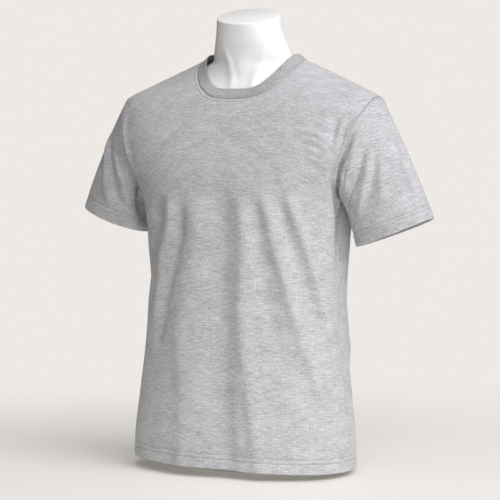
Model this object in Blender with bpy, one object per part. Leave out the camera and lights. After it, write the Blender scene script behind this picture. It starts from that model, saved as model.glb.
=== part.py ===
# Crew neck t-shirt on a limbless dress form.
#
# The shirt is sewn from a front panel, a back panel, two sleeves and a folded
# neckband. Each is a thin wall of jersey that follows one body surface, which is
# lofted through horizontal sections. The front faces -Y, the wearer's left is +X,
# and the form stands on z = 0 with the origin under the middle of its base.

import math
from collections import namedtuple

import bpy
import numpy as np
from mathutils import Vector

# ---- cloth (metres) ---------------------------------------------------------
PANEL_WALL = 0.0014        # single jersey
HEM_WALL = 0.0026          # jersey turned up double
BAND_WALL = 0.0022         # folded rib of the neckband
BAND_PROUD = 0.0004        # the rib stands this far out of the panels
SEAM_GAP = 0.0003          # left open between neighbouring pieces
HEM_DEPTH = 0.025          # width of the turned-up hems
STITCH_STEP = 0.0012       # the wall thins to one layer over this height

# ---- key heights and widths -------------------------------------------------
HEM_HEIGHT = 0.009         # above the floor at the wearer's left side
HEM_LIFT = 0.011           # it hangs this much higher at the right side
UNDERARM_HEIGHT = 0.478
SHOULDER_HEIGHT = 0.669    # outer end of the shoulder seam
NECK_HEIGHT = 0.734        # inner end of the shoulder seam
NECK_HALF_WIDTH = 0.1020   # plan of the neckline, at its seam
NECK_FRONT = 0.0820
NECK_BACK = 0.0600
NECK_SQUARENESS = 2.4
ARMHOLE_FRONT_INSET = 0.060    # how far the armholes cut into the panels
ARMHOLE_BACK_INSET = 0.062

# ---- body surface -----------------------------------------------------------
# Each row is a horizontal section: half its width, its depth to the front and to
# the back of its centre, how far that centre lies behind the origin, and the
# exponent of its superellipse (2 is an ellipse, more is boxier).
# The last column turns the cloth round the body, as it hangs slightly twisted.
Section = namedtuple("Section", "height half_width front back centre squareness twist")
BODY_SECTIONS = [
    Section(0.000, 0.2085, 0.133, 0.128, -0.0220, 2.40, 0.000),
    Section(0.060, 0.2070, 0.131, 0.126, -0.0215, 2.38, -0.004),
    Section(0.140, 0.1990, 0.128, 0.122, -0.0185, 2.32, -0.015),
    Section(0.230, 0.1900, 0.124, 0.118, -0.0157, 2.25, -0.032),
    Section(0.320, 0.1872, 0.122, 0.116, -0.0120, 2.20, -0.045),
    Section(0.400, 0.1905, 0.123, 0.116, -0.0070, 2.20, -0.044),
    Section(0.450, 0.1950, 0.125, 0.116, -0.0050, 2.20, -0.042),
    Section(0.487, 0.2030, 0.125, 0.116, -0.0010, 2.20, -0.045),
    Section(0.540, 0.2260, 0.121, 0.113, 0.0030, 2.20, -0.052),
    Section(0.580, 0.2460, 0.114, 0.109, 0.0070, 2.20, -0.052),
    Section(0.620, 0.2540, 0.103, 0.102, 0.0100, 2.15, -0.038),
    Section(0.650, 0.2560, 0.091, 0.095, 0.0105, 2.10, -0.012),
    Section(SHOULDER_HEIGHT, 0.2490, 0.080, 0.089, 0.0095, 2.05, 0.000),
    Section(0.690, 0.2040, 0.070, 0.079, 0.0140, 2.00, 0.000),
    Section(0.713, 0.1500, 0.058, 0.066, 0.0190, 2.00, 0.000),
    Section(NECK_HEIGHT, NECK_HALF_WIDTH, 0.044, 0.050, 0.0210, 2.00, 0.000),
    Section(0.757, 0.0570, 0.028, 0.034, 0.0210, 2.00, 0.000),
]

# ---- folds of the cloth -----------------------------------------------------
# Each row is one soft trough (depth below zero) or ridge of a panel. Across is
# measured along the cloth from the panel's centre line towards the wearer's left.
Fold = namedtuple("Fold", "panel top_across top_height foot_across foot_height width depth")
FOLDS = [
    Fold("front", 0.034, 0.530, 0.048, 0.000, 0.017, -0.0055),
    Fold("front", 0.072, 0.440, 0.110, 0.090, 0.020, 0.0030),
    Fold("front", 0.088, 0.455, 0.188, 0.140, 0.016, -0.0065),
    Fold("front", 0.147, 0.375, 0.210, 0.150, 0.015, 0.0045),
    Fold("front", 0.150, 0.445, 0.224, 0.230, 0.014, -0.0050),
    Fold("front", 0.206, 0.640, 0.226, 0.500, 0.011, -0.0035),
    Fold("front", -0.062, 0.435, -0.074, 0.150, 0.020, -0.0040),
    Fold("front", -0.104, 0.510, -0.166, 0.265, 0.016, 0.0060),
    Fold("front", -0.150, 0.460, -0.196, 0.285, 0.016, -0.0055),
    Fold("back", 0.030, 0.560, 0.020, 0.000, 0.024, -0.0050),
    Fold("back", -0.100, 0.430, -0.170, 0.120, 0.019, -0.0050),
    Fold("back", -0.050, 0.360, -0.065, 0.000, 0.022, 0.0030),
    Fold("back", 0.110, 0.400, 0.165, 0.100, 0.020, -0.0045),
]
FOLD_FADE = 0.050          # a fold dies away over this length at its ends

# ---- sleeves ----------------------------------------------------------------
# Each row is one sleeve: which side it is on, the middle of its cuff (out, back, up),
# the cuff's tilt in degrees (its outer edge is the higher one), half its opening, and
# how long the sleeve follows the shoulder before it bends to the cuff.
Sleeve = namedtuple("Sleeve", "name side out back up tilt half_width half_depth pull")
SLEEVES = [
    Sleeve("sleeve_left", 1, 0.2835, 0.002, 0.4315, 20.6, 0.0720, 0.050, 0.38),
    Sleeve("sleeve_right", -1, 0.2780, 0.002, 0.4445, 17.5, 0.0710, 0.048, 0.50),
]
UNDERARM_LEAN = 0.9                # how sharply it folds outwards at the underarm
UNDERARM_PULL = 0.35               # it follows the body this much longer there
UNDERARM_EASE = 0.0003             # and its seam stands this much further off
SLEEVE_END_PULL = 0.75             # how long it runs straight into the cuff

# Each row is one trough (depth below zero) or ridge of a sleeve. Around is a share of
# the way round it, from the shoulder by the front to the back; along is a share of its
# length from the armhole to the cuff.
SleeveFold = namedtuple(
    "SleeveFold", "sleeve top_around top_along foot_around foot_along width depth"
)
SLEEVE_FOLDS = [
    SleeveFold("sleeve_left", 0.19, 0.12, 0.34, 0.50, 0.045, -0.0045),
    SleeveFold("sleeve_left", 0.15, 0.22, 0.32, 0.86, 0.040, -0.0045),
    SleeveFold("sleeve_left", 0.04, 0.22, 0.10, 0.80, 0.045, -0.0035),
    SleeveFold("sleeve_left", 0.72, 0.20, 0.62, 0.80, 0.045, -0.0040),
    SleeveFold("sleeve_right", 0.22, 0.22, 0.33, 0.72, 0.045, -0.0045),
    SleeveFold("sleeve_right", 0.10, 0.30, 0.17, 0.72, 0.040, 0.0035),
    SleeveFold("sleeve_right", 0.75, 0.20, 0.66, 0.80, 0.045, -0.0040),
]
SLEEVE_FOLD_FADE = 0.15    # share of the length over which they die away

# ---- neckband ---------------------------------------------------------------
BAND_HALF_WIDTH = 0.0850   # plan of the band's inner edge
BAND_FRONT = 0.0780
BAND_BACK = 0.0490
BAND_RISE_FRONT = 0.0185   # how far that edge stands above the seam
BAND_RISE_SIDE = 0.0090
BAND_RISE_BACK = 0.0170
BAND_START_PULL = 1.0      # how long the band follows the panels
BAND_END_PULL = 1.1        # how long it runs straight into its inner edge

# ---- dress form -------------------------------------------------------------
# It steps in at the bottom to a smaller flat foot.
CAP_TILT = math.radians(10.8)      # the neck's flat cap slants to the front
FORM_SECTIONS = [
    Section(0.0000, 0.1280, 0.0720, 0.0780, -0.004, 2.2, 0.0),
    Section(0.0220, 0.1300, 0.0740, 0.0800, -0.004, 2.2, 0.0),
    Section(0.0500, 0.1510, 0.0920, 0.0930, -0.004, 2.2, 0.0),
    Section(0.0900, 0.1580, 0.0970, 0.0960, -0.004, 2.2, 0.0),
    Section(0.1400, 0.1570, 0.0970, 0.0960, -0.003, 2.2, 0.0),
    Section(0.2400, 0.1500, 0.0950, 0.0930, -0.001, 2.2, 0.0),
    Section(0.3400, 0.1520, 0.0970, 0.0950, 0.000, 2.2, 0.0),
    Section(0.4400, 0.1680, 0.1080, 0.1020, 0.001, 2.2, 0.0),
    Section(0.5200, 0.1920, 0.1130, 0.1040, 0.003, 2.2, 0.0),
    Section(0.5800, 0.2180, 0.1040, 0.0990, 0.007, 2.1, 0.0),
    Section(0.6200, 0.2340, 0.0930, 0.0920, 0.010, 2.0, 0.0),
    Section(0.6500, 0.2440, 0.0810, 0.0860, 0.0105, 1.9, 0.0),
    Section(0.6640, 0.2450, 0.0730, 0.0790, 0.0100, 1.8, 0.0),
    Section(0.6700, 0.2400, 0.0690, 0.0760, 0.0100, 1.75, 0.0),
    Section(0.6865, 0.2060, 0.0625, 0.0710, 0.0130, 1.6, 0.0),
    Section(0.7060, 0.1600, 0.0590, 0.0620, 0.0165, 1.45, 0.0),
    Section(0.7200, 0.1265, 0.0560, 0.0510, 0.0180, 1.4, 0.0),
    Section(0.7320, 0.0930, 0.0540, 0.0475, 0.0180, 1.6, 0.0),
    Section(0.7420, 0.0800, 0.0540, 0.0485, 0.0165, 1.8, 0.0),
    Section(0.7550, 0.0700, 0.0560, 0.0525, 0.013, 2.0, 0.0),
    Section(0.7650, 0.0655, 0.0560, 0.0560, 0.008, 2.0, 0.0),
    Section(0.7770, 0.0620, 0.0560, 0.0570, 0.004, 2.0, 0.0),
    Section(0.8160, 0.0565, 0.0560, 0.0565, -0.004, 2.0, 0.0),
]

# ---- mesh fineness ----------------------------------------------------------
FRONT_COLUMNS = 30
BACK_COLUMNS = 22
BODY_ROWS = 11             # from the hem's stitching to the underarm
ARMHOLE_ROWS = 11
SHOULDER_ROWS = 5
SLEEVE_ROWS = 7            # from the armhole to the cuff's stitching
BAND_ROWS = 3
FORM_COLUMNS = 40
ARC_SAMPLES = 90           # steps used to measure along a section
HALVINGS = 40              # steps used to find the neckline on the body surface
NECK_BLEND = 1.5           # how late the panels' rows take on the neckline's curve

CLOTH_ROUGHNESS = 0.92
CLOTH_SHARP_ANGLE = 40     # degrees
CLOTH_GREY = (0.50, 0.50, 0.515, 1.0)
RIB_GREY = (0.42, 0.42, 0.43, 1.0)
FORM_ROUGHNESS = 0.25
FORM_SHARP_ANGLE = 35
FORM_WHITE = (0.86, 0.855, 0.84, 1.0)


# ---- body surface -----------------------------------------------------------

def smooth_column(heights, values, height):
    """Cubic through the table's values, with each slope taken from its neighbours."""
    slopes = np.gradient(values, heights)
    i = int(np.clip(np.searchsorted(heights, height) - 1, 0, len(heights) - 2))
    span = heights[i + 1] - heights[i]
    t = (height - heights[i]) / span
    return float(
        (2 * t**3 - 3 * t**2 + 1) * values[i]
        + (t**3 - 2 * t**2 + t) * span * slopes[i]
        + (3 * t**2 - 2 * t**3) * values[i + 1]
        + (t**3 - t**2) * span * slopes[i + 1]
    )


def section_at(sections, height):
    heights = np.array([row.height for row in sections])
    columns = [
        smooth_column(heights, np.array([getattr(row, name) for row in sections]), height)
        for name in Section._fields[1:]
    ]
    return Section(height, *columns)


def quarter_curve(half_width, depth, squareness):
    """A quarter of a superellipse from its centre line to its side, with its lengths."""
    angle = np.linspace(0.0, math.pi / 2, ARC_SAMPLES + 1)
    x = half_width * np.sin(angle) ** (2 / squareness)
    y = depth * np.cos(angle) ** (2 / squareness)
    y[-1] = 0.0
    steps = np.hypot(np.diff(x), np.diff(y))
    return x, y, np.concatenate([[0.0], np.cumsum(steps)])


def ring_point(row, turn):
    """A point of a section. Turn 0 is the centre front, 1 the wearer's left side,
    2 the centre back and 3 the right side, evenly spaced along the cloth."""
    turn = (turn + row.twist) % 4.0
    at_back = 1.0 < turn < 3.0
    from_centre = abs(turn - 2.0) if at_back else min(turn, 4.0 - turn)
    x, y, length = quarter_curve(row.half_width, row.back if at_back else row.front, row.squareness)
    along = from_centre * length[-1]
    side = 1.0 if turn < 2.0 else -1.0
    facing = 1.0 if at_back else -1.0
    return Vector((
        side * float(np.interp(along, length, x)),
        row.centre + facing * float(np.interp(along, length, y)),
        row.height,
    ))


def plain_body_point(turn, height):
    return ring_point(section_at(BODY_SECTIONS, height), turn)


def body_normal(turn, height):
    step_turn, step_height = 0.01, 0.002
    across = plain_body_point(turn + step_turn, height) - plain_body_point(turn - step_turn, height)
    up = plain_body_point(turn, height + step_height) - plain_body_point(turn, height - step_height)
    return across.cross(up).normalized()


def fold_height(panel, turn, height):
    """How far the folds push the cloth out of the body surface at one place."""
    row = section_at(BODY_SECTIONS, height)
    depth = row.front if panel == "front" else row.back
    quarter = quarter_curve(row.half_width, depth, row.squareness)[2][-1]
    centre_turn = 0.0 if panel == "front" else 2.0
    side = 1.0 if panel == "front" else -1.0
    across = side * (turn - centre_turn) * quarter
    total = 0.0
    for fold in FOLDS:
        if fold.panel != panel:
            continue
        down = (fold.top_height - height) / (fold.top_height - fold.foot_height)
        line = fold.top_across + (fold.foot_across - fold.top_across) * down
        fade = smooth_step((fold.top_height - height) / FOLD_FADE)
        if fold.foot_height > 0.0:
            fade *= smooth_step((height - fold.foot_height) / FOLD_FADE)
        total += fold.depth * fade * math.exp(-((across - line) / fold.width) ** 2)
    to_seam = (1.0 - abs(turn - centre_turn)) * quarter
    return total * smooth_step(to_seam / FOLD_FADE)


def smooth_step(t):
    t = min(max(t, 0.0), 1.0)
    return t * t * (3.0 - 2.0 * t)


# ---- seam lines -------------------------------------------------------------

def rounded_corner(half_width, depth, squareness, angle):
    """A point of a superellipse's quarter: angle 0 is on its depth's axis."""
    sine, cosine = math.sin(angle), math.cos(angle)
    x = math.copysign(half_width * abs(sine) ** (2 / squareness), sine)
    return x, depth * max(cosine, 0.0) ** (2 / squareness)


def armhole_place(panel, k):
    """Armhole seam, from the underarm (k = 0) to the shoulder: inset and height."""
    angle = math.pi * k / ARMHOLE_ROWS
    inset = ARMHOLE_FRONT_INSET if panel == "front" else ARMHOLE_BACK_INSET
    middle = (UNDERARM_HEIGHT + SHOULDER_HEIGHT) / 2
    reach = (SHOULDER_HEIGHT - UNDERARM_HEIGHT) / 2
    return inset * math.sin(angle), middle - reach * math.cos(angle)


def armhole_turn(panel, k):
    """The same place as a turn of the panel, counted from the panel's centre line."""
    inset, height = armhole_place(panel, k)
    row = section_at(BODY_SECTIONS, height)
    depth = row.front if panel == "front" else row.back
    quarter = quarter_curve(row.half_width, depth, row.squareness)[2][-1]
    return 1.0 - inset / quarter, height


def neckline_place(panel, share):
    """Neckline seam, from the panel's centre (share 0) to the shoulder (share 1)."""
    depth = NECK_FRONT if panel == "front" else NECK_BACK
    x, y = rounded_corner(NECK_HALF_WIDTH, depth, NECK_SQUARENESS, share * math.pi / 2)
    low, high = UNDERARM_HEIGHT, NECK_HEIGHT
    for _ in range(HALVINGS):
        height = (low + high) / 2
        row = section_at(BODY_SECTIONS, height)
        reach = row.front if panel == "front" else row.back
        power = row.squareness
        inside = (x / row.half_width) ** power + (y / reach) ** power < 1.0
        low, high = (height, high) if inside else (low, height)
    row = section_at(BODY_SECTIONS, low)
    reach = row.front if panel == "front" else row.back
    curve_x, _, length = quarter_curve(row.half_width, reach, row.squareness)
    return min(float(np.interp(x, curve_x, length)) / length[-1], 1.0), low


def lifted(turn, height):
    """The hem hangs higher at the right side, and less so the nearer to the underarm."""
    share = (UNDERARM_HEIGHT - height) / (UNDERARM_HEIGHT - HEM_HEIGHT)
    return height + max(share, 0.0) * HEM_LIFT * abs(math.sin((1.0 - turn) * math.pi / 4))


def panel_rows(panel):
    """Rows of a panel from hem to neckline: (side turn, side height, centre height, blend)."""
    hem_top = HEM_HEIGHT + HEM_DEPTH
    above_hem = np.linspace(hem_top + STITCH_STEP, UNDERARM_HEIGHT, BODY_ROWS + 1)
    rows = [(1.0, height, height, 0.0) for height in (HEM_HEIGHT, hem_top, *above_hem)]
    upper = ARMHOLE_ROWS + SHOULDER_ROWS
    centre_top = neckline_place(panel, 0.0)[1]
    for k in range(1, upper + 1):
        if k <= ARMHOLE_ROWS:
            side_turn, side_height = armhole_turn(panel, k)
        else:
            side_turn = 1.0
            share = (k - ARMHOLE_ROWS) / SHOULDER_ROWS
            side_height = SHOULDER_HEIGHT + (NECK_HEIGHT - SHOULDER_HEIGHT) * share
        centre_height = UNDERARM_HEIGHT + (centre_top - UNDERARM_HEIGHT) * k / upper
        rows.append((side_turn, side_height, centre_height, (k / upper) ** NECK_BLEND))
    return rows


def panel_places(panel, columns):
    """The grid of a panel as (turn, height), turning from the right side to the left."""
    neckline = [neckline_place(panel, abs(2 * i / columns - 1)) for i in range(columns + 1)]
    centre_top = neckline_place(panel, 0.0)[1]
    grid = []
    for side_turn, side_height, centre_height, blend in panel_rows(panel):
        line = []
        for i, (neck_turn, neck_height) in enumerate(neckline):
            share = abs(2 * i / columns - 1)
            side = 1.0 if 2 * i > columns else -1.0
            rise = (neck_height - centre_top) / (NECK_HEIGHT - centre_top)
            turn = side_turn * ((1 - blend) * share + blend * neck_turn)
            height = centre_height + (side_height - centre_height) * (
                (1 - blend) * share**2 + blend * rise
            )
            line.append((side * turn, height))
        grid.append(line)
    return grid


# ---- walls ------------------------------------------------------------------

def new_object(name, verts, faces, colour, roughness, smooth_angle):
    mesh = bpy.data.meshes.new(name)
    mesh.from_pydata([tuple(v) for v in verts], [], faces)
    mesh.validate()
    mesh.shade_smooth()
    mesh.set_sharp_from_angle(angle=math.radians(smooth_angle))
    material = bpy.data.materials.new(name)
    material.use_nodes = True
    shader = material.node_tree.nodes["Principled BSDF"]
    shader.inputs["Base Color"].default_value = colour
    shader.inputs["Roughness"].default_value = roughness
    shader.inputs["Metallic"].default_value = 0.0
    mesh.materials.append(material)
    piece = bpy.data.objects.new(name, mesh)
    parts.objects.link(piece)
    return piece


def wall_object(name, outer, inner, closed, colour):
    """A thin wall between two skins of the same rows. Rows that are closed make a tube."""
    rows, columns = len(outer), len(outer[0])
    verts = [p for row in outer for p in row] + [p for row in inner for p in row]
    offset = rows * columns
    spans = columns if closed else columns - 1
    faces = []
    for r in range(rows - 1):
        for c in range(spans):
            d = (c + 1) % columns
            a, b = r * columns + c, r * columns + d
            e, f = a + columns, b + columns
            faces.append((a, b, f, e))
            faces.append((a + offset, e + offset, f + offset, b + offset))
    last = (rows - 1) * columns
    for c in range(spans):
        d = (c + 1) % columns
        faces.append((c, c + offset, d + offset, d))
        faces.append((last + c, last + d, last + d + offset, last + c + offset))
    if not closed:
        for r in range(rows - 1):
            a, e = r * columns, (r + 1) * columns
            b, f = a + columns - 1, e + columns - 1
            faces.append((a, e, e + offset, a + offset))
            faces.append((b, b + offset, f + offset, f))
    return new_object(name, verts, faces, colour, CLOTH_ROUGHNESS, CLOTH_SHARP_ANGLE)


def panel_wall(panel, columns):
    """The outer skin of a panel, row by row, and its normals."""
    places = panel_places(panel, columns)
    centre_turn = 0.0 if panel == "front" else 2.0
    skin, normals = [], []
    for line in places:
        turns = [(centre_turn + turn, lifted(centre_turn + turn, height)) for turn, height in line]
        normals.append([body_normal(turn, height) for turn, height in turns])
        skin.append([
            plain_body_point(turn, height) + normal * fold_height(panel, turn, height)
            for (turn, height), normal in zip(turns, normals[-1])
        ])
    return skin, normals


def edge_outward(line, normals, flip):
    """Unit vectors in the cloth, square to a seam line and away from the panel."""
    result = []
    for i in range(len(line)):
        before, after = line[max(i - 1, 0)], line[min(i + 1, len(line) - 1)]
        along = (after - before).normalized()
        result.append((along.cross(normals[i]) * flip).normalized())
    return result


def build_panel(name, panel, columns):
    skin, normals = panel_wall(panel, columns)
    right = edge_outward([row[0] for row in skin], [row[0] for row in normals], -1)
    left = edge_outward([row[-1] for row in skin], [row[-1] for row in normals], 1)
    top = edge_outward(skin[-1], normals[-1], -1)
    outer = [list(row) for row in skin]
    for r, row in enumerate(outer):
        row[0] = row[0] - right[r] * SEAM_GAP / 2
        row[-1] = row[-1] - left[r] * SEAM_GAP / 2
    outer[-1] = [p - t * SEAM_GAP / 2 for p, t in zip(outer[-1], top)]
    walls = [HEM_WALL, HEM_WALL] + [PANEL_WALL] * (len(outer) - 2)
    inner = [
        [p - n * wall for p, n in zip(row, normal_row)]
        for row, normal_row, wall in zip(outer, normals, walls)
    ]
    wall_object(name, outer, inner, False, CLOTH_GREY)
    return {
        "skin": skin, "normals": normals,
        "first_out": right, "last_out": left, "top_out": top,
    }


# ---- sleeves ----------------------------------------------------------------

def armhole_loop(front, back, side):
    """Seam points, wall normals and sleeve directions around one armhole, starting at
    the shoulder and going down the front."""
    front_column, back_column = (-1, 0) if side > 0 else (0, -1)
    front_out = front["last_out"] if side > 0 else front["first_out"]
    back_out = back["first_out"] if side > 0 else back["last_out"]
    low = len(front["skin"]) - 1 - SHOULDER_ROWS - ARMHOLE_ROWS
    high = low + ARMHOLE_ROWS
    loop = []
    for r in range(high, low - 1, -1):
        loop.append((front["skin"][r][front_column], front["normals"][r][front_column], front_out[r]))
    for r in range(low + 1, high):
        loop.append((back["skin"][r][back_column], back["normals"][r][back_column], back_out[r]))
    # where the panels meet, their directions are averaged
    for index, r in ((0, high), (ARMHOLE_ROWS, low)):
        point, normal, out = loop[index]
        loop[index] = (point, normal, (out + back_out[r]).normalized())
    return loop


def ellipse_angles(half_width, half_depth, count):
    """Angles that divide an ellipse into arcs of equal length."""
    angle = np.linspace(0.0, 2 * math.pi, 8 * ARC_SAMPLES + 1)
    x, y = half_width * np.cos(angle), half_depth * np.sin(angle)
    length = np.concatenate([[0.0], np.cumsum(np.hypot(np.diff(x), np.diff(y)))])
    return np.interp(np.arange(count) * length[-1] / count, length, angle)


def cuff_loop(sleeve, count):
    """Points of the cuff's edge, starting at its outer side and going to the front."""
    tilt = math.radians(sleeve.tilt)
    axis = Vector((sleeve.side * math.sin(tilt), 0.0, -math.cos(tilt)))
    outward = Vector((sleeve.side * math.cos(tilt), 0.0, math.sin(tilt)))
    centre = Vector((sleeve.side * sleeve.out, sleeve.back, sleeve.up))
    points = []
    for angle in ellipse_angles(sleeve.half_width, sleeve.half_depth, count):
        forward = Vector((0.0, -sleeve.half_depth * math.sin(angle), 0.0))
        points.append(centre + outward * (sleeve.half_width * math.cos(angle)) + forward)
    return points, axis


def hermite(start, start_pull, end, end_pull, t):
    return (
        start * (2 * t**3 - 3 * t**2 + 1)
        + start_pull * (t**3 - 2 * t**2 + t)
        + end * (3 * t**2 - 2 * t**3)
        + end_pull * (t**3 - t**2)
    )


def sleeve_fold_height(name, around, along):
    """How far the folds push a sleeve's cloth outwards at one place."""
    total = 0.0
    for fold in SLEEVE_FOLDS:
        if fold.sleeve != name:
            continue
        down = (along - fold.top_along) / (fold.foot_along - fold.top_along)
        line = fold.top_around + (fold.foot_around - fold.top_around) * down
        fade = smooth_step((along - fold.top_along) / SLEEVE_FOLD_FADE)
        fade *= smooth_step((fold.foot_along - along) / SLEEVE_FOLD_FADE)
        total += fold.depth * fade * math.exp(-((around - line) / fold.width) ** 2)
    return total


def build_sleeve(sleeve, front, back):
    side = sleeve.side
    loop = armhole_loop(front, back, side)
    count = len(loop)
    cuff, axis = cuff_loop(sleeve, count)
    columns = []
    for index, ((seam, normal, out), end) in enumerate(zip(loop, cuff)):
        underarm = math.sin(math.pi * index / count) ** 4
        start = seam + out * (SEAM_GAP / 2 + UNDERARM_EASE * underarm)
        reach = (end - start).length
        away = (out + normal * UNDERARM_LEAN * underarm).normalized()
        pull = sleeve.pull + UNDERARM_PULL * underarm
        hem_share = 1.0 - HEM_DEPTH / reach
        shares = [hem_share * j / SLEEVE_ROWS for j in range(SLEEVE_ROWS + 1)]
        shares += [hem_share + STITCH_STEP / reach, 1.0]
        columns.append([
            hermite(start, away * reach * pull, end, axis * reach * SLEEVE_END_PULL, t)
            for t in shares
        ])
    rows = [[column[j] for column in columns] for j in range(len(columns[0]))]
    # going round by the front, then down the sleeve, turns the cross product outwards
    normals = []
    for j, row in enumerate(rows):
        line = []
        for i in range(count):
            across = row[(i + 1) % count] - row[i - 1]
            down = rows[min(j + 1, len(rows) - 1)][i] - rows[max(j - 1, 0)][i]
            line.append(down.cross(across).normalized() * side)
        normals.append(line)
    normals[0] = [normal for _, normal, _ in loop]
    for j, (row, line) in enumerate(zip(rows, normals)):
        along = j / (len(rows) - 1)
        rows[j] = [
            p + n * sleeve_fold_height(sleeve.name, i / count, along)
            for i, (p, n) in enumerate(zip(row, line))
        ]
    walls = [PANEL_WALL] * (SLEEVE_ROWS + 1) + [HEM_WALL] * 2
    inner = [
        [p - n * wall for p, n in zip(row, line)] for row, line, wall in zip(rows, normals, walls)
    ]
    if side > 0:
        rows = [row[::-1] for row in rows]
        inner = [row[::-1] for row in inner]
    wall_object(sleeve.name, rows, inner, True, CLOTH_GREY)


# ---- neckband ---------------------------------------------------------------

def build_neckband(front, back):
    """A folded rib from the neckline seam up to the band's inner edge."""
    seam = list(zip(front["skin"][-1], front["normals"][-1], front["top_out"]))
    rear = list(zip(back["skin"][-1], back["normals"][-1], back["top_out"]))
    loop = seam + rear[1:-1]
    for index, other in ((0, rear[-1]), (len(seam) - 1, rear[0])):
        point, normal, out = loop[index]
        loop[index] = (point, (normal + other[1]).normalized(), (out + other[2]).normalized())
    centre_y = section_at(BODY_SECTIONS, NECK_HEIGHT).centre
    columns = []
    for point, normal, out in loop:
        at_back = point.y > centre_y
        depth, rise = (BAND_BACK, BAND_RISE_BACK) if at_back else (BAND_FRONT, BAND_RISE_FRONT)
        neck_depth = NECK_BACK if at_back else NECK_FRONT
        angle = math.atan2((point.y - centre_y) / neck_depth, point.x / NECK_HALF_WIDTH)
        start = point + out * SEAM_GAP / 2
        lift = BAND_RISE_SIDE + (rise - BAND_RISE_SIDE) * math.sin(angle) ** 4
        x, y = rounded_corner(BAND_HALF_WIDTH, depth, NECK_SQUARENESS, math.pi / 2 - abs(angle))
        facing = 1.0 if at_back else -1.0
        end = Vector((x, centre_y + facing * y, point.z + lift))
        reach = (end - start).length
        columns.append([
            hermite(
                start, out * reach * BAND_START_PULL,
                end, (end - start) * BAND_END_PULL, j / BAND_ROWS,
            )
            for j in range(BAND_ROWS + 1)
        ])
    count = len(columns)
    rows = [[column[j] for column in columns] for j in range(BAND_ROWS + 1)]
    normals = []
    for j, row in enumerate(rows):
        line = []
        for i in range(count):
            across = row[(i + 1) % count] - row[i - 1]
            up = rows[min(j + 1, BAND_ROWS)][i] - rows[max(j - 1, 0)][i]
            line.append(across.cross(up).normalized())
        normals.append(line)
    normals[0] = [normal for _, normal, _ in loop]
    outer = [[p + n * BAND_PROUD for p, n in zip(r, l)] for r, l in zip(rows, normals)]
    inner = [[p - n * (BAND_WALL - BAND_PROUD) for p, n in zip(r, l)] for r, l in zip(rows, normals)]
    wall_object("neckband", outer, inner, True, RIB_GREY)


# ---- dress form -------------------------------------------------------------

def build_form():
    """Rings of the form from its flat base to the slanted cap of its neck."""
    rings = []
    for row in FORM_SECTIONS:
        rings.append([ring_point(row, 4.0 * i / FORM_COLUMNS) for i in range(FORM_COLUMNS)])
    for point in rings[-1]:
        point.z += (point.y - FORM_SECTIONS[-1].centre) * math.tan(CAP_TILT)
    verts = [point for ring in rings for point in ring]
    faces = []
    for r in range(len(rings) - 1):
        for c in range(FORM_COLUMNS):
            d = (c + 1) % FORM_COLUMNS
            a, b = r * FORM_COLUMNS + c, r * FORM_COLUMNS + d
            faces.append((a, b, b + FORM_COLUMNS, a + FORM_COLUMNS))
    faces.append(tuple(reversed(range(FORM_COLUMNS))))
    last = (len(rings) - 1) * FORM_COLUMNS
    faces.append(tuple(range(last, last + FORM_COLUMNS)))
    new_object("dress_form", verts, faces, FORM_WHITE, FORM_ROUGHNESS, FORM_SHARP_ANGLE)


for old in list(bpy.data.objects):
    bpy.data.objects.remove(old, do_unlink=True)

parts = bpy.data.collections.new("crew_neck_t_shirt")
bpy.context.scene.collection.children.link(parts)

front_seams = build_panel("front_panel", "front", FRONT_COLUMNS)
back_seams = build_panel("back_panel", "back", BACK_COLUMNS)
for sleeve_row in SLEEVES:
    build_sleeve(sleeve_row, front_seams, back_seams)
build_neckband(front_seams, back_seams)
build_form()
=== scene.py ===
import math
from collections import namedtuple

import bpy
import numpy as np
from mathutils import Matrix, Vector


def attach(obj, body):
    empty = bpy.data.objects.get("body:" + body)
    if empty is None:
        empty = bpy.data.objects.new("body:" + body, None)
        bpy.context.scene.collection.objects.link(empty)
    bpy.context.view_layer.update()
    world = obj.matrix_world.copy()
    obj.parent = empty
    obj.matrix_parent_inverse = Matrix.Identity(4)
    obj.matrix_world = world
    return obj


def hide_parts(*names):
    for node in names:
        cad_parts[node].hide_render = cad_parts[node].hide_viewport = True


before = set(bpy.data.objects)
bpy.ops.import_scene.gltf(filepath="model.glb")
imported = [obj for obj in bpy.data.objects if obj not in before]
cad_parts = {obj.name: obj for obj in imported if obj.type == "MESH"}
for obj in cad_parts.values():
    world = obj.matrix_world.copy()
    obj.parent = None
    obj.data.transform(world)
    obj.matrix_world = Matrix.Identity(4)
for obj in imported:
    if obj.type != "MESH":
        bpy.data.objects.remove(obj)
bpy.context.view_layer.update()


# the body: one surface that every cloth piece lies on

millimetre, perCent = 0.001, 0.01
# front and back are depths from the centre, squareness 2 is an ellipse, and twist is in quarters of a turn
Section = namedtuple("Section", "height halfWidth front back centre squareness twist", defaults=(0.0,))


def sectionTable(*rows):
    # rows with their first five columns in millimetres
    return [Section(*(size * millimetre for size in row[:5]), *row[5:]) for row in rows]


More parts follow.
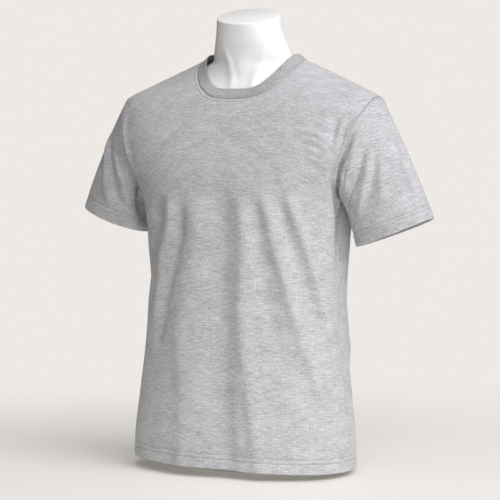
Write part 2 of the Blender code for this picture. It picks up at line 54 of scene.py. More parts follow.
bodyShape = {
    "hemHeight": 0.009,        # at the wearer's left side
    "hemLift": 0.011,          # the right side hangs this much higher
    "underarmHeight": 0.478,
    "shoulderHeight": 0.669,
    "neckHeight": 0.734,
    "neckHalfWidth": 0.1020,
    "neckDepth": {"front": 0.0820, "back": 0.0600},
    "neckSquareness": 2.65,
    "armholeInset": {"front": (0.094, 0.069), "back": (0.062, 0.062)},   # right and left arm
    "armholeSpan": 11,         # rows of the armhole before they are divided
    "shoulderSpan": 5,
    "neckBlend": 1.5,          # how late the rows bend to follow the neckline
    "sections": sectionTable(
        (0, 208.5, 133, 128, -22, 2.4),
        (60, 207, 131, 126, -21.5, 2.38, -0.004),
        (140, 199, 128, 122, -18.5, 2.32, -0.015),
        (230, 190, 124, 118, -15.7, 2.25, -0.032),
        (320, 187.2, 122, 116, -12, 2.2, -0.045),
        (400, 190.5, 123, 116, -7, 2.2, -0.044),
        (450, 195, 125, 116, -5, 2.2, -0.042),
        (487, 203, 125, 116, -1, 2.3, -0.045),
        (540, 225.5, 121, 113, 3, 2.6, -0.052),
        (580, 244.5, 114, 109, 7, 2.85, -0.052),
        (620, 252, 103, 102, 10, 2.9, -0.048),
        (650, 254, 91, 95, 10.5, 2.6, -0.022),
        (669, 245.5, 80, 89, 9.5, 2.25, -0.008),
        (690, 202, 70, 79, 14, 2.05, -0.002),
        (713, 150, 58, 66, 19, 2),
        (734, 102, 44, 50, 21, 2),
        (757, 57, 28, 34, 21, 2),
    ),
}
tableStep = 0.001              # between the heights at which the body's curves are worked out
arcSteps = 240                 # in a quarter of the way round
probe = {"turn": 0.01, "height": 0.002}     # how far off a point the surface's slope is read


def smoothStep(t):
    t = np.clip(t, 0.0, 1.0)
    return t * t * (3.0 - 2.0 * t)


def bell(distance, width):
    return np.exp(-((distance / width) ** 2))


def unit(vectors):
    return vectors / np.maximum(np.linalg.norm(vectors, axis=-1, keepdims=True), 1e-12)


def hermite(start, startPull, end, endPull, t):
    return (
        start * (2 * t**3 - 3 * t**2 + 1)
        + startPull * (t**3 - 2 * t**2 + t)
        + end * (3 * t**2 - 2 * t**3)
        + endPull * (t**3 - t**2)
    )


def smoothCurve(at, places, rows):
    # a smooth curve through rows of numbers
    slopes = np.gradient(rows, places, axis=0)
    i = np.clip(np.searchsorted(places, at) - 1, 0, len(places) - 2)
    span = (places[i + 1] - places[i])[..., None]
    t = (at - places[i])[..., None] / span
    return hermite(rows[i], span * slopes[i], rows[i + 1], span * slopes[i + 1], t)


def rowsBetween(at, places, rows):
    # the same with straight lines between them
    return np.stack([np.interp(at, places, column) for column in rows.T], axis=-1)


def edgeLengths(points, axis=0):
    # length of cloth from the first row (axis 0) or the first column (axis 1)
    steps = np.linalg.norm(np.diff(points, axis=axis), axis=-1)
    start = np.zeros_like(np.take(steps, [0], axis=axis))
    return np.concatenate([start, np.cumsum(steps, axis=axis)], axis=axis)


def farEdgeLengths(points, axis=0):
    # the same from the last row or column
    return np.flip(edgeLengths(np.flip(points, axis), axis), axis)


def sectionAt(height, shape=bodyShape):
    table = np.array(shape["sections"])
    return Section(height, *np.moveaxis(smoothCurve(height, table[:, 0], table[:, 1:]), -1, 0))


def quarterCurve(halfWidth, depth, squareness):
    # a quarter of a rounded box, from its middle to its side, at even steps of its length
    angle = np.linspace(0.0, math.pi / 2, 2 * arcSteps + 1)
    x = halfWidth * np.sin(angle) ** (2 / squareness)
    y = depth * np.cos(angle) ** (2 / squareness)
    y[-1] = 0.0
    curve = np.stack([x, y], axis=-1)
    length = edgeLengths(curve)
    even = rowsBetween(np.linspace(0.0, length[-1], arcSteps + 1), length, curve)
    return even[:, 0], even[:, 1], length[-1]


def bodyTable():
    heights = np.arange(0.0, bodyShape["sections"][-1].height, tableStep)
    rows = sectionAt(heights)
    table = {}
    for side in ("front", "back"):
        curves = map(quarterCurve, rows.halfWidth, getattr(rows, side), rows.squareness)
        table[side] = dict(zip(("x", "y", "length"), map(np.array, zip(*curves))))
    return heights, table


tableHeights, curveTable = bodyTable()


def lookUp(side, column, height, share):
    grid = curveTable[side][column]
    h = np.clip(height / tableStep, 0.0, len(tableHeights) - 1.001)
    s = np.clip(share, 0.0, 1.0) * (arcSteps - 1e-6)
    i, j = h.astype(int), s.astype(int)
    a, b = h - i, s - j
    low = grid[i, j] * (1 - b) + grid[i, j + 1] * b
    high = grid[i + 1, j] * (1 - b) + grid[i + 1, j + 1] * b
    return low * (1 - a) + high * a


def quarterLength(side, height):
    return np.interp(height, tableHeights, curveTable[side]["length"])


def bodyPoint(turn, height):
    # turn 0 is the centre front, 1 the wearer's left side, 2 the back, 3 the right side
    row = sectionAt(height)
    turn = (turn + row.twist) % 4.0
    atBack = (turn > 1.0) & (turn < 3.0)
    share = np.where(atBack, np.abs(turn - 2.0), np.minimum(turn, 4.0 - turn))
    x, y = (
        np.where(atBack, lookUp("back", column, height, share), lookUp("front", column, height, share))
        for column in ("x", "y")
    )
    x *= np.where(turn < 2.0, 1.0, -1.0)
    y *= np.where(atBack, 1.0, -1.0)
    return np.stack([x, row.centre + y, height], axis=-1)


def bodyNormal(turn, height):
    across = bodyPoint(turn + probe["turn"], height) - bodyPoint(turn - probe["turn"], height)
    up = bodyPoint(turn, height + probe["height"]) - bodyPoint(turn, height - probe["height"])
    return unit(np.cross(across, up))


def liftedHeight(turn, height):
    # the hem hangs higher on the wearer's right
    drop = bodyShape["underarmHeight"] - bodyShape["hemHeight"]
    share = np.maximum((bodyShape["underarmHeight"] - height) / drop, 0.0)
    return height + share * bodyShape["hemLift"] * np.abs(np.sin((1.0 - turn) * math.pi / 4))


# folds, worked out on the flat cloth

# path: points from the top down; near and far: reach towards -across and +across
# everything is in millimetres, but a sleeve's paths and reaches are in per cent of its round and length
Crease = namedtuple("Crease", "path near far depth")
creaseSteps = 27


def creaseTable(*rows):
    return [Crease(*row) for row in rows]


def creaseHeight(creases, across, up, scale, fade):
    # how far the creases push each point of the cloth outwards
    total = np.zeros_like(across)
    for crease in creases:
        path = np.array(crease.path) * scale
        reached = edgeLengths(path)
        line = smoothCurve(np.linspace(0.0, reached[-1], creaseSteps + 1), reached, path)
        nearest = np.full(across.shape, np.inf)
        along = np.zeros_like(across)
        side = np.zeros_like(across)
        travelled = 0.0
        for a, b in zip(line[:-1], line[1:]):
            step = b - a
            length = float(np.hypot(*step))
            x, y = across - a[0], up - a[1]
            t = np.clip((x * step[0] + y * step[1]) / length**2, 0.0, 1.0)
            away = np.hypot(x - t * step[0], y - t * step[1])
            closer = away < nearest
            nearest = np.where(closer, away, nearest)
            along = np.where(closer, travelled + t * length, along)
            side = np.where(closer, step[0] * y - step[1] * x, side)
            travelled += length
        reach = min(fade, travelled / 2)
        strength = smoothStep(along / reach) * smoothStep((travelled - along) / reach)
        width = np.where(side > 0, crease.far, crease.near) * scale
        total += crease.depth * millimetre * strength * bell(nearest, width)
    return total


def waver(along, pitch, seed):
    # an uneven ripple between about -1 and 1
    phase, way = 1.7 * seed, 2 * math.pi * along / pitch
    slow = np.sin(way / 3.7 + phase)
    return (
        0.62 * np.sin(way + 1.4 * slow + 2.3 * phase)
        + 0.38 * np.sin(way / 1.63 + 0.9 * slow + 5.1 * phase)
    )


# grids of points made into cloth

def gridNormals(points, closed):
    if closed:
        across = np.roll(points, -1, axis=1) - np.roll(points, 1, axis=1)
    else:
        across = np.gradient(points, axis=1)
    return unit(np.cross(across, np.gradient(points, axis=0)))


def pushed(points, distance, closed=True):
    return points + gridNormals(points, closed) * distance[..., None]


def closedRound(grid):
    # the first column again after the last
    return np.concatenate([grid, grid[:, :1]], axis=1)


clothMake = {"merge": 1e-6, "smoothAngle": 50}


def startPiece(name, primitive, **settings):
    bpy.ops.object.select_all(action="DESELECT")
    primitive(**settings)
    piece = bpy.context.active_object
    piece.name = name
    return piece


def mode(name):
    bpy.ops.object.mode_set(mode=name)


def fillMap(mesh, name, places):
    corners = np.zeros(len(mesh.loops), np.int32)
    mesh.loops.foreach_get("vertex_index", corners)
    places = places.reshape(-1, 2)[corners].reshape(-1)
    mesh.uv_layers[name].data.foreach_set("uv", places.astype(np.float32))


def clothPiece(name, points, flat, wall, closed, seam=None):
    # points and flat run by row and column, flat is the place on the cut cloth in metres,
    # and seam is how much painted shade each point takes along the seams, from 0 to 1
    if closed:
        points, wall = closedRound(points), closedRound(wall)
        seam = seam if seam is None else closedRound(seam)
    rows, columns = points.shape[:2]
    piece = startPiece(
        name, bpy.ops.mesh.primitive_grid_add, x_subdivisions=columns - 1, y_subdivisions=rows - 1, size=1.0
    )
    piece.data.name = name
    piece.data.vertices.foreach_set("co", points.reshape(-1).astype(np.float32))
    piece.data.uv_layers.active.name = "cloth"
    fillMap(piece.data, "cloth", flat)
    # a second map carries the painted shade along the seams
    if seam is not None:
        piece.data.uv_layers.new(name="seam")
        fillMap(piece.data, "seam", np.stack([seam, np.zeros_like(seam)], axis=-1))
        piece.data.uv_layers["cloth"].active_render = True
    thickest = float(wall.max())
    group = piece.vertex_groups.new(name="wall")
    share = np.round(wall.reshape(-1) / thickest, 2)
    for value in np.unique(share):
        group.add([int(v) for v in np.nonzero(share == value)[0]], float(value), "REPLACE")
    if closed:
        mode("EDIT")
        bpy.ops.mesh.select_all(action="SELECT")
        bpy.ops.mesh.remove_doubles(threshold=clothMake["merge"])
        mode("OBJECT")
    bpy.ops.object.modifier_add(type="SOLIDIFY")
    solid = piece.modifiers[-1]
    solid.thickness = thickest
    solid.offset = -1.0
    solid.vertex_group = "wall"
    bpy.ops.object.modifier_apply(modifier=solid.name)
    bpy.ops.object.shade_smooth_by_angle(angle=math.radians(clothMake["smoothAngle"]))
    print(name, len(piece.data.polygons), "faces")
    return piece


hemMake = {
    "groove": 0.0013,          # how deep a row of stitches draws the cloth
    "grooveWidth": 0.0013,
    "ripple": 0.0003,          # of the turned cloth between the stitches and the edge
    "rippleFrom": 0.021,
    "rippleReach": 0.008,
}


def edgeRoll(fromEdge, roll):
    # a turned edge rolls in
    inner = np.clip(roll - fromEdge, 0.0, roll)
    return np.sqrt(np.maximum(roll**2 - inner**2, 0.0)) - roll


def hemOffset(fromEdge, along, make, seed):
    total = edgeRoll(fromEdge, make["roll"])
    for row in make["rows"]:
        total -= hemMake["groove"] * bell(fromEdge - row, hemMake["grooveWidth"])
    reach = bell(fromEdge - hemMake["rippleFrom"], hemMake["rippleReach"])
    return total + hemMake["ripple"] * waver(along, make["ripplePitch"], seed) * reach


def hemWall(fromEdge, make):
    return np.where(fromEdge < make["hemDepth"], make["hemWall"], make["wall"])


# front and back panels

Pit = namedtuple("Pit", "depth reach low")     # the fold under an arm

panelMake = {
    "wall": 0.0014,
    "hemWall": 0.0026,
    "hemDepth": 0.027,
    "roll": 0.0013,
    "rows": (0.0178, 0.0260),        # twin needle rows, from the hem's edge
    "ripplePitch": 0.016,
    "hemBands": (0.0, 0.0003, 0.0007, 0.0013, 0.003, 0.006, 0.009, 0.012, 0.0140, 0.0154, 0.0166,
                 0.0178, 0.0190, 0.0202, 0.0216, 0.0232, 0.0248, 0.0260, 0.0272, 0.0285, 0.031),
    "neckRow": 0.0065,               # topstitching round the neck seam
    "neckGroove": (0.0006, 0.0011),  # its depth and width
    "neckSwell": (0.0034, 0.0002, 0.0020),     # its distance, height and width
    "columns": {"front": 76, "back": 60},   # from the centre line to a side
    "columnSpread": 0.35,            # how much closer the columns stand at the side
    "bodyRows": 144,
    "rowsInOne": 8,                  # each row of the armhole's span is divided so
    "neckRows": ((0.93, 0.33, -0.06), (0.32, 0.01, -0.035)),   # before the last: from, to and step
    "seamRise": 0.0011,
    "seamWidth": 0.0022,
    "seamFade": 0.009,
    "pucker": 0.00042,
    "puckerFrom": 0.003,
    "puckerReach": 0.010,
    "puckerPitch": 0.013,
    "sideShares": (0.974, 0.982, 0.989, 0.9945, 1.0),
    "sideFade": 0.008,
    "creaseFade": 0.05,
    "pits": {"right": Pit(0.0065, 0.013, 0.385), "left": Pit(0.0160, 0.018, 0.345)},
    "pitEnd": 0.10,                  # how far above the underarm they end
    "pitFade": 0.09,
    "seamSink": 0.0014,
    "seamSinkWidth": 0.0017,
}


def pitFold(pit, toSide, height):
    high = bodyShape["underarmHeight"]
    rise = smoothStep((height - pit.low) / (high - pit.low))
    end = smoothStep((high + panelMake["pitEnd"] - height) / panelMake["pitFade"])
    return -pit.depth * rise * end * bell(toSide, pit.reach)


def sink(distance, normals):
    # the seam allowance draws the cloth in along every seam
    return normals * -panelMake["seamSink"] * bell(distance, panelMake["seamSinkWidth"])[..., None]


panelCreases = {
    "front": creaseTable(
        (((19, 530), (20, 400), (23, 260), (25, 140), (38, -40)), 34, 18, -6.5),
        (((55, 510), (60, 400), (60, 260), (66, 190), (80, 90), (94, -30)), 14, 20, 5.5),
        (((78, 500), (91, 400), (103, 330), (119, 260), (145, 170)), 16, 18, -4),
        (((90, 515), (101, 470), (118, 400), (141, 330), (161, 260),
          (185, 190), (212, 110)), 12, 15, 7),
        (((120, 500), (137, 440), (160, 370), (184, 300), (206, 240)), 12, 12, -4),
        (((134, 515), (147, 470), (174, 400), (197, 330), (220, 260), (236, 205)), 10, 13, 6),
        (((-118, 500), (-133, 435), (-160, 390), (-183, 350), (-200, 300)), 20, 14, -7),
        (((-94, 510), (-99, 430), (-114, 395), (-126, 320), (-150, 255)), 12, 12, 5),
        (((-68, 495), (-69, 430), (-88, 360), (-107, 290), (-130, 205)), 14, 12, -6),
        (((-36, 505), (-41, 400), (-55, 330), (-67, 260), (-61, 190),
          (-57, 120), (-63, -30)), 20, 32, 5),
        (((217, 650), (217, 610), (214, 570)), 8, 5, -6.4),
        (((244, 650), (237, 615), (231, 580), (222, 550), (218, 520),
          (224, 500), (236, 485)), 4.2, 4.2, -5.6),
        (((-238, 650), (-222, 630), (-216, 608), (-209, 585), (-204, 565),
          (-197, 540), (-199, 510)), 8, 8, 4.5),
        (((221, 530), (228, 500), (236, 480), (243, 460), (247, 440),
          (248, 415), (246, 360)), 8.5, 8, -13),
        (((145, 614), (190, 602), (218, 586)), 6, 4, 3.4),
        (((150, 600), (190, 588), (220, 571)), 5, 4, 4),
        (((155, 584), (195, 570), (220, 554)), 6, 4, 3.6),
        (((165, 566), (200, 552), (220, 537)), 5, 4, 3),
    ),
    "back": creaseTable(
        (((28, 590), (20, 400), (24, 180), (12, -40)), 20, 32, -6),
        (((-12, 560), (-20, 380), (-18, 160), (-30, -30)), 18, 22, 4),
        (((-88, 500), (-104, 400), (-138, 270), (-180, 120)), 14, 18, -6),
        (((-118, 490), (-134, 410), (-168, 300), (-205, 200)), 13, 12, 5),
        (((-50, 420), (-62, 260), (-70, 80), (-66, -40)), 22, 24, 3.5),
        (((84, 500), (96, 400), (128, 270), (170, 110)), 18, 13, -5.5),
        (((110, 505), (132, 400), (164, 290), (208, 180)), 12, 15, 5.5),
        (((64, 380), (72, 220), (82, -30)), 18, 22, 3),
        (((-206, 640), (-216, 570), (-222, 500)), 7, 9, -3),
        (((204, 645), (213, 580), (221, 500)), 9, 7, -3),
    ),
}


def roundedCorner(halfWidth, depth, squareness, angle):
    sine = np.sin(angle)
    x = np.copysign(halfWidth * np.abs(sine) ** (2 / squareness), sine)
    return x, depth * np.maximum(np.cos(angle), 0.0) ** (2 / squareness)


def armholeTurn(side, k):
    # for the wearer's right and left arm
    angle = math.pi * k / bodyShape["armholeSpan"]
    low, high = bodyShape["underarmHeight"], bodyShape["shoulderHeight"]
    height = (low + high) / 2 - (high - low) / 2 * np.cos(angle)
    reach = np.sin(angle) / quarterLength(side, height)
    return [1.0 - inset * reach for inset in bodyShape["armholeInset"][side]], height


halvings = 40


def necklinePlace(side, share):
    # from the centre (share 0) to the shoulder (share 1), found by halving
    x, y = roundedCorner(
        bodyShape["neckHalfWidth"], bodyShape["neckDepth"][side], bodyShape["neckSquareness"],
        share * math.pi / 2,
    )
    low = np.full_like(share, bodyShape["underarmHeight"])
    high = np.full_like(share, bodyShape["neckHeight"])
    for _ in range(halvings):
        height = (low + high) / 2
        row = sectionAt(height)
        power = row.squareness
        inside = (x / row.halfWidth) ** power + (y / getattr(row, side)) ** power < 1.0
        low, high = np.where(inside, height, low), np.where(inside, high, height)
    turns = []
    for at, height in zip(x, low):
        row = sectionAt(np.array([height]))
        curveX, _, _ = quarterCurve(row.halfWidth[0], getattr(row, side)[0], row.squareness[0])
        turns.append(min(float(np.interp(at, curveX, np.linspace(0.0, 1.0, len(curveX)))), 1.0))
    return np.array(turns), low


def upperSteps():
    # rows above the underarm, closer together near the neckline
    span = bodyShape["armholeSpan"] + bodyShape["shoulderSpan"]
    even = np.arange(1, (span - 1) * panelMake["rowsInOne"] + 1) / panelMake["rowsInOne"]
    return np.concatenate([even, *(span - np.arange(*near) for near in panelMake["neckRows"]), [span]])


def panelPlaces(side):
    # the turn, from the panel's centre line, and the height of every point of its grid
    columns = panelMake["columns"][side]
    even, spread = np.linspace(0.0, 1.0, columns + 1), panelMake["columnSpread"]
    first, *rest = panelMake["sideShares"]
    half = np.concatenate([first * ((1 + spread) * even - spread * even**2), rest])
    signed = np.concatenate([-half[:0:-1], half])
    share = np.abs(signed)
    neckTurn, neckHeight = necklinePlace(side, share)
    centreTop = neckHeight[len(half) - 1]
    neckRise = (neckHeight - centreTop) / (bodyShape["neckHeight"] - centreTop)
    hem, underarm = bodyShape["hemHeight"], bodyShape["underarmHeight"]
    lower = np.concatenate([
        hem + np.array(panelMake["hemBands"]),
        np.linspace(hem + panelMake["hemBands"][-1], underarm, panelMake["bodyRows"] + 1)[1:],
    ])
    turns = [signed] * len(lower)
    heights = [np.full_like(signed, height) for height in lower]
    armhole, shoulder = bodyShape["armholeSpan"], bodyShape["shoulderSpan"]
    upper = armhole + shoulder
    for k in upperSteps():
        if k <= armhole:
            (rightTurn, leftTurn), sideHeight = armholeTurn(side, k)
            sideTurn = np.where(signed < 0, rightTurn, leftTurn)
        else:
            sideTurn = 1.0
            rise = (k - armhole) / shoulder
            sideHeight = bodyShape["shoulderHeight"] + rise * (
                bodyShape["neckHeight"] - bodyShape["shoulderHeight"]
            )
        centre = underarm + (centreTop - underarm) * k / upper
        blend = (k / upper) ** bodyShape["neckBlend"]
        turns.append(np.sign(signed) * sideTurn * ((1 - blend) * share + blend * neckTurn))
        heights.append(centre + (sideHeight - centre) * ((1 - blend) * share**2 + blend * neckRise))
    return np.array(turns), np.array(heights), len(lower) - 1


def seamOffset(distance, along, seed):
    # the cloth lies in at the seam, and swells and puckers beside it
    swell = 1.0 - bell(distance, panelMake["seamWidth"])
    rise = panelMake["seamRise"] * swell * bell(distance, panelMake["seamFade"])
    reach = np.exp(-distance / panelMake["puckerReach"]) * smoothStep(distance / panelMake["puckerFrom"])
    return rise + panelMake["pucker"] * reach * waver(along, panelMake["puckerPitch"], seed)


# painted shade along the seam lines, and painted shadow down the front's armhole where the sleeve folds
# under it
paintedSeamShade = {
    "width": 0.0016,
    # painted shade along every seam
    "plain": 0.28,
    "foldShadow": 0.85,             # painted shadow where the wearer's right sleeve is folded back under the front
    "foldShadowFrom": 0.500,        # heights between which it is
    "foldShadowTo": 0.668,
    "fade": 0.030,
}


# how strong the painted fold shadow is at each height
def foldShadowShare(height):
    start = smoothStep((height - paintedSeamShade["foldShadowFrom"]) / paintedSeamShade["fade"])
    return paintedSeamShade["foldShadow"] * start * smoothStep((paintedSeamShade["foldShadowTo"] - height) / paintedSeamShade["fade"])


# painted shade along a seam, darkest on the seam line
def paintedShade(distance, strength):
    return strength * bell(distance, paintedSeamShade["width"])


def makePanel(name, side, seed):
    turns, heights, underarmRow = panelPlaces(side)
    centreTurn = 0.0 if side == "front" else 2.0
    facing = 1.0 if side == "front" else -1.0
    lifted = liftedHeight(centreTurn + turns, heights)
    across = facing * turns * quarterLength(side, lifted)
    normals = bodyNormal(centreTurn + turns, lifted)
    base = bodyPoint(centreTurn + turns, lifted)
    toSide = (1.0 - np.abs(turns)) * quarterLength(side, lifted)
    push = creaseHeight(panelCreases[side], across, lifted, millimetre, panelMake["creaseFade"])
    push *= smoothStep(toSide / panelMake["sideFade"])
    right, left = (pitFold(panelMake["pits"][key], toSide, heights) for key in ("right", "left"))
    push += np.where(across > 0, left, right)
    skin = base + normals * push[..., None]
    fromHem, fromTop = edgeLengths(skin), farEdgeLengths(skin)
    fromFirst, fromLast = edgeLengths(skin, 1), farEdgeLengths(skin, 1)
    detail = hemOffset(fromHem, fromFirst, panelMake, seed)
    detail += seamOffset(fromFirst, fromHem[:, :1], seed + 1)
    detail += seamOffset(fromLast, fromHem[:, -1:], seed + 2)
    swellFrom, swell, swellWidth = panelMake["neckSwell"]
    groove, grooveWidth = panelMake["neckGroove"]
    detail += swell * bell(fromTop - swellFrom, swellWidth)
    detail -= groove * bell(fromTop - panelMake["neckRow"], grooveWidth)
    toEdge = np.minimum(np.minimum(fromFirst, fromLast), fromTop)
    points = pushed(skin, detail, False) + sink(toEdge, normals)
    flat = np.stack([across, edgeLengths(base)], axis=-1)     # the creases don't bend the grain
    # painted shade along the panel's edges, and on the front painted shadow down the armhole where the
    # sleeve folds under
    seam = paintedShade(toEdge, paintedSeamShade["plain"])
    if side == "front":
        seam = np.maximum(seam, paintedShade(fromFirst, foldShadowShare(skin[:, :1, 2])))
    piece = clothPiece(name, points, flat, hemWall(fromHem, panelMake), False, seam)
    return {
        "piece": piece, "skin": skin, "normals": normals, "points": points,
        "fromHem": fromHem, "fromTop": fromTop, "underarmRow": underarmRow,
    }


# sleeves

# out, back and up: the middle of the cuff; pull: how far the cloth runs straight out of the armhole
# drop: how much lower the front of the cuff hangs than its back
Sleeve = namedtuple("Sleeve", "name side out back up tilt turn halfWidth halfDepth pull drop")

sleeveMake = {
    "sleeves": [
        Sleeve("sleeve_left", 1, 0.2815, 0.002, 0.4315, 20.6, 0.0, 0.0755, 0.050, 0.38, 0.0055),
        Sleeve("sleeve_right", -1, 0.2815, 0.014, 0.4440, 17.5, 12.0, 0.0760, 0.046, 0.36, 0.0),
    ],
    "underarmLean": 0.30,
    "underarmPull": 0.20,
    "underarmPower": 4,        # how narrow the underarm is in those
    "dropPower": 1.5,
    "endPull": 0.75,
    "steps": 84,
    "seamShares": (0.0, 0.006, 0.013, 0.022, 0.033, 0.046),
    "seamFree": 0.016,         # share of the length over which the creases die out at the armhole
    "creaseFade": 0.15,        # share of the length over which a crease starts and ends
    "cuffBands": (0.0280, 0.0262, 0.0252, 0.0242, 0.0230, 0.0216, 0.0203, 0.0190, 0.0178, 0.0166,
                  0.0140, 0.0110, 0.0075, 0.0045, 0.0022, 0.0010, 0.0004, 0.0),
    "wall": 0.0014,
    "hemWall": 0.0026,
    "hemDepth": 0.026,
    "roll": 0.0013,
    "rows": (0.0180, 0.0245),
    "ripplePitch": 0.015,
}

# paths in per cent of the way round, from the shoulder by the front, and of the way down the sleeve
sleeveCreases = {
    "sleeve_left": creaseTable(
        (((14, 3), (28, 4), (38, 5), (47, 6), (60, 6)), 2.4, 2.6, -15),
        (((17, 8), (23, 11), (28, 16), (34, 20), (41, 22)), 2.5, 3.2, 3.2),
        (((16, 17), (23, 25), (28, 31), (35, 33), (43, 36)), 2.4, 3, -4.6),
        (((13, 19), (19, 31), (26, 44), (31, 56), (36, 73)), 3.4, 3.4, 3.2),
        (((12, 27), (16, 36), (23, 49), (31, 65)), 2.8, 3.4, -2.8),
        (((9, 18), (14, 40), (19, 60), (22, 76)), 3, 3.4, 4.5),
        (((2, 12), (4.5, 33), (7.5, 60), (10, 86)), 2.6, 2.6, -4.8),
        (((80, 16), (77, 45), (72, 85)), 3, 3.6, -4),
        (((72, 14), (68, 45), (62, 88)), 2.6, 3, 5.5),
        (((92, 20), (90, 50), (88, 90)), 3, 3, 3.5),
    ),
    "sleeve_right": creaseTable(
        (((5, 28), (9, 40), (14, 47), (23, 67), (28, 82)), 3, 3.4, 4.2),
        (((10, 26), (15, 36), (22, 43), (28, 56), (32, 70)), 3, 2.8, -5),
        (((15, 20), (21, 25), (28, 33), (35, 51), (38, 64)), 2.6, 2.6, 3.8),
        (((24, 7), (31, 9), (37, 14), (42, 22), (47, 40), (51, 60), (52, 88)), 7.5, 7.5, -20),
        (((4, 2.2), (16, 2.2), (26, 2.2), (36, 2.4), (46, 2.4), (56, 2.4)), 1.4, 1.4, -12),
        (((75, 16), (71, 45), (66, 88)), 2.8, 3, 5.5),
        (((83, 18), (80, 45), (76, 86)), 3, 3.4, -4),
    ),
}


def outwardInCloth(line, normals, flip):
    along = unit(np.gradient(line, axis=0))
    return unit(np.cross(along, normals) * flip)


def armholeLoop(front, back, side):
    # seam points from the shoulder down the front, under the arm and up the back
    low = front["underarmRow"]
    high = low + bodyShape["armholeSpan"] * panelMake["rowsInOne"]
    frontColumn, backColumn = (-1, 0) if side > 0 else (0, -1)
    parts = []
    for panel, column in ((front, frontColumn), (back, backColumn)):
        line, normals = panel["skin"][:, column], panel["normals"][:, column]
        out = outwardInCloth(line, normals, 1 if column == -1 else -1)
        parts.append([rows[low:high + 1] for rows in (line, normals, out)])
    seam, normals, out = (np.concatenate([a[::-1], b[1:-1]]) for a, b in zip(*parts))
    (*_, frontOut), (*_, backOut) = parts
    for index, row in ((0, -1), (high - low, 0)):
        out[index] = unit(frontOut[row] + backOut[row])
    return seam, normals, out


ellipseSteps = 1440


def ellipseAngles(halfWidth, halfDepth, count):
    # angles of points at even steps of the length round
    angle = np.linspace(0.0, 2 * math.pi, ellipseSteps + 1)
    length = edgeLengths(np.stack([halfWidth * np.cos(angle), halfDepth * np.sin(angle)], axis=-1))
    return np.interp(np.arange(count) * length[-1] / count, length, angle)


def makeSleeve(sleeve, front, back, seed):
    seam, normals, out = armholeLoop(front, back, sleeve.side)
    count = len(seam)
    tilt = math.radians(sleeve.tilt)
    axis = np.array([sleeve.side * math.sin(tilt), 0.0, -math.cos(tilt)])
    turn = math.radians(sleeve.turn)
    outward = np.array([
        sleeve.side * math.cos(tilt) * math.cos(turn), math.cos(tilt) * math.sin(turn), math.sin(tilt),
    ])
    forward = np.array([sleeve.side * math.sin(turn), -math.cos(turn), 0.0])
    centre = np.array([sleeve.side * sleeve.out, sleeve.back, sleeve.up])
    angles = ellipseAngles(sleeve.halfWidth, sleeve.halfDepth, count)
    cuff = centre + np.outer(np.cos(angles) * sleeve.halfWidth, outward)
    cuff += np.outer(np.sin(angles) * sleeve.halfDepth, forward)
    cuff[:, 2] -= sleeve.drop * np.maximum(np.sin(angles), 0.0) ** sleeveMake["dropPower"]
    around = np.arange(count) / count
    underarm = np.sin(math.pi * around) ** sleeveMake["underarmPower"]
    reach = np.linalg.norm(cuff - seam, axis=1)
    away = unit(out + normals * (sleeveMake["underarmLean"] * underarm)[:, None])
    startPull = away * (reach * (sleeve.pull + sleeveMake["underarmPull"] * underarm))[:, None]
    endPull = axis * (reach * sleeveMake["endPull"])[:, None]
    first, steps = sleeveMake["seamShares"], sleeveMake["steps"]
    top, *bands = (1.0 - band / sleeveMake["endPull"] / reach for band in sleeveMake["cuffBands"])
    shares = [np.full(count, t) for t in first]
    shares += [first[-1] + (top - first[-1]) * (step + 1) / steps for step in range(steps)] + bands
    points = np.array([hermite(seam, startPull, cuff, endPull, t[:, None]) for t in shares])
    down = edgeLengths(points)
    along = down / down[-1:]
    spread = np.broadcast_to(around, along.shape)
    push = sum(                             # a crease may cross the line where the round starts
        creaseHeight(sleeveCreases[sleeve.name], spread + shift, along, perCent, sleeveMake["creaseFade"])
        for shift in (-1.0, 0.0, 1.0)
    )
    push *= smoothStep(along / sleeveMake["seamFree"])
    points = pushed(points, sleeve.side * push)
    fromSeam, fromCuff = edgeLengths(points), farEdgeLengths(points)
    girth = edgeLengths(closedRound(points), 1)
    detail = hemOffset(fromCuff, girth[-1:, :-1], sleeveMake, seed)
    detail += seamOffset(fromSeam, girth[:1, :-1], seed + 3)
    points = pushed(points, sleeve.side * detail) + sink(fromSeam, normals)
    wall = hemWall(fromCuff, sleeveMake)
    grain = closedRound(points) @ axis
    sideways = np.linspace(-0.5, 0.5, count + 1) * girth[-1, -1]
    flat = np.stack([np.broadcast_to(sideways, grain.shape), grain], axis=-1)
    # painted shade along the armhole seam, and on the wearer's right sleeve painted shadow where it folds
    # under the front
    shade = paintedShade(fromSeam, paintedSeamShade["plain"])
    if sleeve.side < 0:
        sleeveFoldShadow = foldShadowShare(seam[:, 2]) * (around < 0.5)
        shade = np.maximum(shade, paintedShade(fromSeam, sleeveFoldShadow))
        points, wall, fromCuff, shade = (      # the other way round, so that the cloth faces out
            np.roll(grid[:, ::-1], 1, axis=1) for grid in (points, wall, fromCuff, shade)
        )
        flat = flat[:, ::-1]
    piece = clothPiece(sleeve.name + "_jersey", points, flat, wall, True, shade)
    return {"piece": piece, "points": points, "fromCuff": fromCuff}


# neckband

bandMake = {
    "squareness": {"right": 2.85, "left": 2.25},     # of the opening, on the wearer's right and left
    "halfWidth": {"right": 0.0820, "left": 0.0850},
    "depth": {"front": 0.0780, "back": 0.0490},
    "riseSide": 0.0120,
    "rise": {"front": 0.0185, "back": 0.0235},
    "power": {"front": 4.0, "back": 1.6},   # how late the band rises from the side to the middle
    "startPull": 1.0,
    "endPull": 1.1,
    "wall": 0.0022,
    "proud": 0.0004,
    "proudFrom": 0.0012,
    "shares": (0.0, 0.03, 0.07, 0.12, 0.19, 0.27, 0.36, 0.45, 0.54, 0.63, 0.72, 0.80, 0.87, 0.92, 0.96,
               0.985, 1.0),
    "roll": 0.0011,
}


